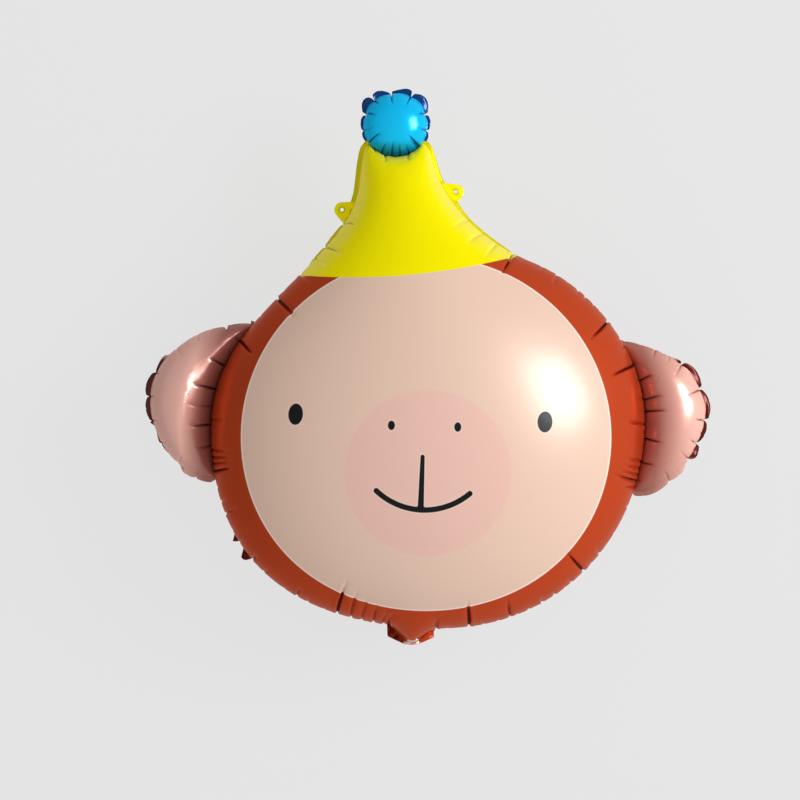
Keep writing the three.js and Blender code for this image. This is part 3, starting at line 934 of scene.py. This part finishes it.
def head_foil():
    foil = Foil("head_foil", RED_BROWN)
    face = print_face(foil)
    hat = hat_print_and_sheen(foil)
    border_print_and_shade(foil, hat)
    bare = face * (hat * -1 + 1)
    # painted crease shade, weaker on the face and on the hat
    foil.paint_crease_shade(CREASE_SHADE, bare * -0.65 - hat * 0.5 + 0.85, 2.2)
    metallic = hat * -0.45 - bare * 0.56 + 0.6
    return foil.finish(metallic, roughness=bare * 0.09 + 0.25, coat=bare * 0.26 + 0.08)


def ear_foil(name, metallic, coat, roughness, shade_to, shade_blur):
    """Pink in front, with painted shade and a painted red reflection of the head making it darker towards the
    head, red-brown behind, and painted shade on the outer petals.
    """
    foil = Foil(name, PINK)
    x, y = foil.x, foil.y
    # painted shade and painted red reflection of the head, stronger towards the head
    painted_shade_by_head = (length(x, y * RIM_SQUASH) - shade_to).inside(shade_blur)
    foil.lay(painted_shade_by_head, SHADE, 0.8)
    foil.lay(foil.side.inside(0.1), RED_BROWN)
    # painted shade: the standing petals on the ear's outer side are laid dark brown
    outer = (x.unsigned() * -1 + 262.0).inside(4.0) * (y - 86.0).inside(3.0) * (y * -1 - 24.0).inside(3.0)
    foil.lay(foil.border() * outer, SHADED_BROWN)
    # painted crease shade
    foil.paint_crease_shade(CREASE_SHADE, 0.7)
    return foil.finish(painted_shade_by_head * -0.1 + metallic, roughness, coat, coat_roughness=0.22)


def bobble_foil():
    foil = Foil("bobble_foil", BLUE)
    # painted shade, darker towards the bottom of the bobble
    foil.lay((foil.y - (BOBBLE_CENTRE[1] - 22)).inside(7.0), SHADED_BLUE, 0.7)
    # painted shade on the border's petals
    foil.lay(foil.border(), SHADED_BLUE)
    # painted crease shade, in dark blue
    foil.paint_crease_shade(SHADED_BLUE, 0.8)
    return foil.finish(metallic=0.2, roughness=0.21, coat=0.32, coat_roughness=0.18, tint=BLUE_TINT)


def valve_film():
    return Foil("valve_film", SILVER).finish(metallic=0.85, roughness=0.25, coat=0.5)


# Head and hat

LOOSE_FOLDS = ((-206, -107, 6, 1.0), (-193, -124, 7, 0.8))  # place, size and strength, under the left cheek

HEAD_CREASES = (
    (-157, 146, -142, 129, 1), (-198, 102, -184, 89, 1), (-224, -34, -207, -30, 0.9),
    (-218, -12, -207, -13, 0.5), (-220, -19, -206, -20, 0.6), (-222, -26, -206, -24, 0.6),
    (-187, -129, -180, -123, 0.8), (-95, -181, -87, -150, 1), (-80, -184, -72, -142, 0.6),
    (-69, -186, -59, -143, 0.5), (-57, -189, -49, -146, 0.62), (-47, -193, -40, -152, 0.5),
    (-40, -195, -38, -178, 0.6), (8, -202, 6, -152, 0.62), (43, -197, 40, -157, 1),
    (86, -188, 84, -170, 0.7), (107, -185, 105, -178, 0.3), (121, -176, 118, -167, 0.6),
    (134, -167, 130, -161, 0.4), (150, -150, 146, -145, 0.3), (162, -138, 147, -120, 1),
    (181, -122, 176, -114, 0.4), (218, -52, 205, -49, 0.5), (219, -45, 196, -36, 0.8),
    (220, -38, 199, -32, 0.55), (221, -31, 202, -25, 0.5), (222, -24, 206, -19, 0.5), (214, 77, 193, 65, 1),
    (188, 122, 171, 106, 1), (167, 151, 162, 146, 0.4), (159, 157, 156, 151, 0.35),
    (135, 172, 130, 162, 0.5), (88, 191, 75, 175, 1), (71, 202, 57, 193, 0.4), (55, 214, 40, 205, 0.45),
    (40, 229, 26, 222, 0.4), (-90, 226, -72, 229, 0.8), (-108, 201, -91, 195, 0.8),
    (-135, 174, -125, 163, 0.4), (-46, 298, -47, 287, 0.6), (-19, 299, -18, 288, 0.6),
    (-57, 305, -62, 296, 0.5), (-80, 245, -68, 245, 0.35), (-85, 235, -70, 237, 0.35),
    (-98, 213, -82, 212, 0.45), (-120, 190, -106, 182, 0.45), (-228, 20, -214, 21, 0.35),
)


def head_weld(x, y):
    """How far inside a weld with another chamber a place is, and below zero off the welds."""
    at_bobble = np.hypot(x - BOBBLE_CENTRE[0], y - BOBBLE_CENTRE[1]) < BOBBLE_RADIUS + 1
    weld = np.where(at_bobble, 12.0, -1)
    for side, (low, high) in ((-1, LEFT_EAR_SPAN), (1, RIGHT_EAR_SPAN)):
        past = np.minimum(y - low, high - y)
        weld = np.maximum(weld, np.where(x * side > 150, past - 3, -1))
    return weld


def head_border(p):
    """Folded back round the face, and less so on the hat, at the neck and in two loose folds."""
    x, y = p.T
    hat, open_side = smoothstep(y, 174, 204), smoothstep(y, 226, 250)
    neck = smoothstep(-np.abs(x - NECK_MIDDLE), -26, -20) * (y < -190)
    loose = sum(share * np.exp(-((np.hypot(x - u, y - v) / size) ** 4)) for u, v, size, share in LOOSE_FOLDS)
    opened = 66 * loose + np.maximum(40 * hat + 22 * open_side, 60 * neck)
    free_width = 6.5 - 2.7 * hat + 1.9 * open_side - 3 * neck + 7 * loose
    weld = head_weld(x, y)
    welded = weld > 0
    return Border(
        width=np.where(welded, np.clip(0.3 * weld, 0.5, 7.0), free_width),
        fold=np.radians(np.where(welded, 0, 74 - opened)),
        recess=np.where(welded, 0, 3.0 * (1 - hat) * (1 - neck)),
        held=0.75 * welded, notch=0.2, ease=22.0, sway=0.25,
    )


def head_and_hat(rim, foil):
    tucks = Tucks(rim, 62, 4, HEAD_CREASES, fine=2, depth=8.5, reach=(9.0, 26.0), width=1.05, puff=0.06)
    made = Chamber(rim, tucks, head_border, HEAD_DEPTH, band=60.0, rows=39, lattice=6.5, pitch=4.2)
    chamber_object("head_and_hat", made, foil)


# Ears

LEFT_EAR_CREASES = (
    (-215, 76, -236, 92, 1), (-227, 52, -254, 60, 1), (-229, 34, -252, 34, 0.5), (-231, 14, -255, 8, 0.9),
    (-232, -7, -242, -17, 0.7), (-266, 94, -261, 89, 0.35), (-288, 69, -280, 67, 0.5),
    (-293, 44, -285, 44, 0.6), (-292, 18, -284, 19, 0.6), (-283, -6, -276, -3, 0.45),
    (-264, -26, -260, -20, 0.5), (-244, -38, -242, -31, 0.45), (-244, 109, -241, 103, 0.35),
)
RIGHT_EAR_CREASES = (
    (224, 61, 240, 76, 1), (231, 41, 253, 55, 0.9), (232, 28, 261, 30, 1), (230, 0, 250, -14, 1),
    (225, -24, 237, -36, 0.9), (220, -42, 226, -51, 0.6), (268, 78, 261, 68, 0.8), (287, 52, 275, 48, 1),
    (294, 19, 281, 18, 1), (285, -6, 275, -3, 0.9), (274, -22, 266, -15, 0.7), (251, -41, 247, -33, 0.6),
    (240, 95, 236, 87, 0.5), (255, 88, 251, 81, 0.35),
)
RIDGE_FROM_MIDDLE = 259.0


def left_ridge(p):
    """A ridge along the ear, steep towards the head, which catches the light."""
    x, y = p.T
    past = np.hypot(x, RIM_SQUASH * y) - RIDGE_FROM_MIDDLE
    return np.interp(y, (0, 90), (8.4, 4.2)) * np.exp(-np.hypot(past, 1.2) / np.where(past < 0, 9, 30))


def ear_border(p, head_rim, dark_from):
    """Standing out in petals on the outer side, from dark_from up, and nearly so at the bottom."""
    x, y = p.T
    welded = np.array([np.hypot(*(head_rim.points - q).T).min() < 2.5 for q in p])
    outer = smoothstep(np.abs(x), 258, 270) * smoothstep(y, dark_from, dark_from + 6)
    outer *= 1 - smoothstep(y, 84, 90)
    opened = 68 * np.maximum(outer, 0.75 * (1 - smoothstep(y, -34, -26)))
    return Border(
        width=np.where(welded, 3.0, 5.5 + 1.3 * outer),
        fold=np.radians(np.where(welded, 0, 78 - opened)),
        recess=np.where(welded, 0, 1.0),
        held=0.75 * welded, notch=0.8, ease=10.0, sway=0.45, petal=0.45,
    )


def ear(name, head_rim, shape, seed, creases, dark_from, foil, crest=None):
    rim = ear_outline(head_rim, *shape)
    tucks = Tucks(rim, 40, seed, creases, depth=7.0, reach=(6, 15), width=0.8, puff=0.36)
    made = Chamber(
        rim, tucks, lambda p: ear_border(p, head_rim, dark_from),
        EAR_DEPTH, band=26.0, rows=24, lattice=3.5, pitch=2.6, crest=crest,
    )
    chamber_object(name, made, foil)


def left_ear(head_rim):
    foil = ear_foil("left_ear_foil", metallic=0.4, coat=0.55, roughness=0.23, shade_to=252, shade_blur=12)
    shape = (-1, LEFT_EAR_SPAN, LEFT_EAR_TIP, ((-60, 0), 54), ((-38, -5), 40))
    ear("left_ear", head_rim, shape, 5, LEFT_EAR_CREASES, dark_from=12, foil=foil, crest=left_ridge)


def right_ear(head_rim):
    foil = ear_foil("right_ear_foil", metallic=0.22, coat=0.2, roughness=0.28, shade_to=263, shade_blur=20)
    shape = (1, RIGHT_EAR_SPAN, RIGHT_EAR_TIP, ((46, -2), 46), ((40, -12), 28))
    ear("right_ear", head_rim, shape, 6, RIGHT_EAR_CREASES, dark_from=-24, foil=foil)


# Bobble

BOBBLE_CREASES = (
    (-62, 312, -52, 327, 1), (-10, 308, -22, 322, 1), (-12, 306, -20, 315, 0.7), (-49, 300, -46, 308, 0.8),
    (-39, 297, -39, 309, 0.8), (-30, 297, -30, 306, 0.7), (-20, 299, -23, 306, 0.6),
    (-39, 363, -39, 353, 0.9), (-59, 360, -53, 352, 0.8), (-19, 359, -23, 351, 0.8),
    (-68, 343, -57, 342, 1), (-3, 342, -10, 343, 1), (-2, 325, -8, 325, 0.8), (-67, 325, -60, 325, 0.6),
)


def bobble_border(p):
    """Welded to the hat below, and standing out all round above, most at the two shoulders."""
    x, y = (p - BOBBLE_CENTRE).T
    low = y < -17
    shoulders = 7 * np.sin(2 * np.arctan2(y, x)) ** 2 * (y > 0)
    return Border(
        width=np.where(low, 3.0, 4.2 + shoulders),
        fold=np.radians(np.where(low, 0, 8)),
        recess=np.where(low, 0, 0.6),
        held=0.6 * low, notch=0.8, ease=8.0, sway=0.5, petal=0.5,
    )


def bobble():
    rim = Outline(arc(BOBBLE_CENTRE, BOBBLE_RADIUS, -math.pi / 2, 1.5 * math.pi, 400))
    tucks = Tucks(rim, 40, 8, BOBBLE_CREASES, depth=6.5, reach=(4, 9), width=0.7, puff=0.34)
    made = Chamber(rim, tucks, bobble_border, BOBBLE_DEPTH, band=18.0, rows=20, lattice=3.0, pitch=2.0)
    chamber_object("bobble", made, bobble_foil())


# Flat pieces welded to the rim

TAIL_OUTLINE = (
    (-43.4, -194.7), (-42.8, -209.5), (-25.4, -218), (-18, -218.9), (-8.5, -217.5), (6.3, -210.5),
    (5.8, -196.8), (-3, -190), (-35, -188),
)


def tab(name, eye, feet, seed, foil):
    """A hanging tab with an eyelet hole: a round end on a foot that widens into the border."""
    lean = np.random.default_rng(seed).normal(0, 0.05, 2)
    points = np.concatenate([arc(eye, TAB_RADIUS, 0, 2 * math.pi, 60), np.array(feet, float)])

    def rise(plan, share):
        off = plan - eye
        eyelet = 0.7 * np.exp(-(((np.hypot(*off.T) - TAB_HOLE) / 1.6) ** 2))
        return off @ lean + eyelet + 0.5 * np.sin(off[:, 0] * 0.55 + off[:, 1] * 0.4) - 1.2

    leaf_object(name, points, eye, TAB_HOLE, rise, foil)


def filler_tail(foil):
    """The flat neck below the inflated throat, crumpled towards its edge."""

    def rise(plan, share):
        x, y = plan.T
        crumple = 2.6 * np.abs(np.sin(x * 0.17 + y * 0.11)) + 2.0 * np.abs(np.sin(x * -0.24 + y * 0.3 + 1))
        return (crumple - 2) * share - 0.6

    leaf_object("filler_tail", TAIL_OUTLINE, TAIL_CENTRE, 0, rise, foil, side=ON_BORDER, rings=12, spokes=120)


def valve_mouth():
    """The silvery end of the filling valve, just under the throat."""
    points = np.array(VALVE_CENTRE) + np.array(VALVE_HALF) * heading(np.linspace(0, 6.2, 40))

    def rise(plan, share):
        return np.full(len(plan), 1.6 * (1 - share**2) + 0.8)

    leaf_object("valve_mouth", points, VALVE_CENTRE, 0, rise, valve_film(), rings=4, spokes=40)


# The studio

LAMP_RIGHT, LAMP_HIGH, LAMP_AIM = 1.6, 1.6, (0, 0, 0.1)
FLOOR_HALF, FLOOR_DROP = 40.0, 0.0004
FLOOR_GREY, FLOOR_GLOW = 0.08, 0.71


def softbox(name, power, tall, wide, back, colour=(1, 1, 1)):
    light = bpy.data.lights.new(name, "AREA")
    light.shape = "RECTANGLE"
    light.energy, light.color = power, colour
    light.size, light.size_y = tall, wide
    box = placed(name, light)
    box.location = (LAMP_RIGHT, back, LAMP_HIGH)
    box.rotation_euler = (Vector(LAMP_AIM) - box.location).to_track_quat("-Z", "Y").to_euler()
    return box


def lamps():
    """One soft lamp at the right, split in two so that the gloss and the light can be set apart."""
    gloss = softbox("shine", 66, 0.88, 0.72, 0.56, (0.94, 0.97, 1.0))
    gloss.visible_diffuse = False
    light = softbox("key", 28, 1.05, 0.75, 0.5)
    light.visible_glossy = False


def camera():
    data = bpy.data.cameras.new("camera")
    data.lens, data.sensor_width, data.clip_end = LENS, SENSOR, 100
    obj = placed("camera", data)
    obj.location = (*(CAMERA_PLAN * MM), (SEAM_HEIGHT + CAMERA_ABOVE_SEAM) * MM)
    bpy.context.scene.camera = obj


def floor():
    """A pale plain, lit evenly from within, which the foil doesn't reflect."""
    corners = [(x * FLOOR_HALF, y * FLOOR_HALF, -FLOOR_DROP) for x, y in ((-1, -1), (1, -1), (1, 1), (-1, 1))]
    mesh = bpy.data.meshes.new("floor")
    mesh.from_pydata(corners, [], [(0, 1, 2, 3)])
    ground, _, inputs = new_material("floor")
    feed(inputs["Base Color"], (FLOOR_GREY,) * 3)
    feed(inputs["Roughness"], 1.0)
    feed(inputs["Specular IOR Level"], 0.0)
    feed(inputs["Emission Color"], (1, 1, 1))
    feed(inputs["Emission Strength"], FLOOR_GLOW)
    mesh.materials.append(ground)
    obj = placed("floor", mesh)
    obj.visible_glossy = False


def surroundings():
    """A white room, brighter above and to the right."""
    world = bpy.data.worlds.new("studio")
    world.use_nodes = True
    nodes = world.node_tree.nodes
    right, back, up = split(nodes.new("ShaderNodeTexCoord").outputs["Generated"])
    high = (up * 2.5).clamped()
    slant = right * (high * -0.2 + 0.3)
    glow = (up.most(0.0) * 0.14 + slant - back * (high * 0.13 + 0.04) + 0.535).most(0.15)
    feed(nodes["Background"].inputs["Color"], (1, 1, 1))
    feed(nodes["Background"].inputs["Strength"], glow)
    bpy.context.scene.world = world


def balloon():
    rim, foil = head_outline(), head_foil()
    head_and_hat(rim, foil)
    left_ear(rim)
    right_ear(rim)
    bobble()
    tab("left_tab", TAB_EYES[0], ((-92, 248.5), (-74, 250), (-78, 236), (-92, 230), (-88, 227)), 1, foil)
    tab("right_tab", TAB_EYES[1], ((28, 268), (14, 270), (17, 255), (32, 250)), 2, foil)
    filler_tail(foil)
    valve_mouth()


def studio():
    bpy.context.scene.view_settings.view_transform = "Standard"
    camera()
    floor()
    lamps()
    surroundings()


balloon()
studio()
